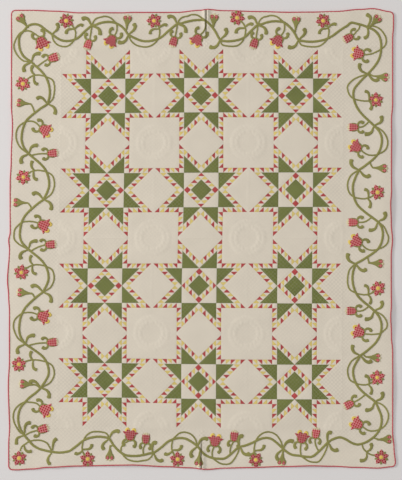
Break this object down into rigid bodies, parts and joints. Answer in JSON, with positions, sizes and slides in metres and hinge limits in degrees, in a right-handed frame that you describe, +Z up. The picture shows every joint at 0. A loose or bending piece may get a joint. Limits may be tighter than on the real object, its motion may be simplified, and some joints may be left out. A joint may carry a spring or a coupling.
{
  "type": "feathered star bed quilt",
  "caption": "Bed quilt spread flat and face up: quilted cotton with a pieced feathered-star field, a plain vine border, an uneven rippled edge and a narrow folded binding.",
  "frame": {"origin": "on the resting surface, under the middle of the quilt's outline", "axes": "+Y towards the head end (up in the picture), +X to the right, +Z up out of the patchwork face"},
  "size_m": [2.2352, 2.6554, 0.013],
  "materials": {
    "quilted_cotton": "plain-woven cream cotton, hand quilted",
    "red_binding": "plain-woven red cotton, folded over the edge"
  },
  "bodies": {
    "root": {"quilt_body": "quilted_cotton", "binding_right": "red_binding", "binding_top": "red_binding", "binding_left": "red_binding", "binding_bottom": "red_binding"}
  },
  "joints": []
}
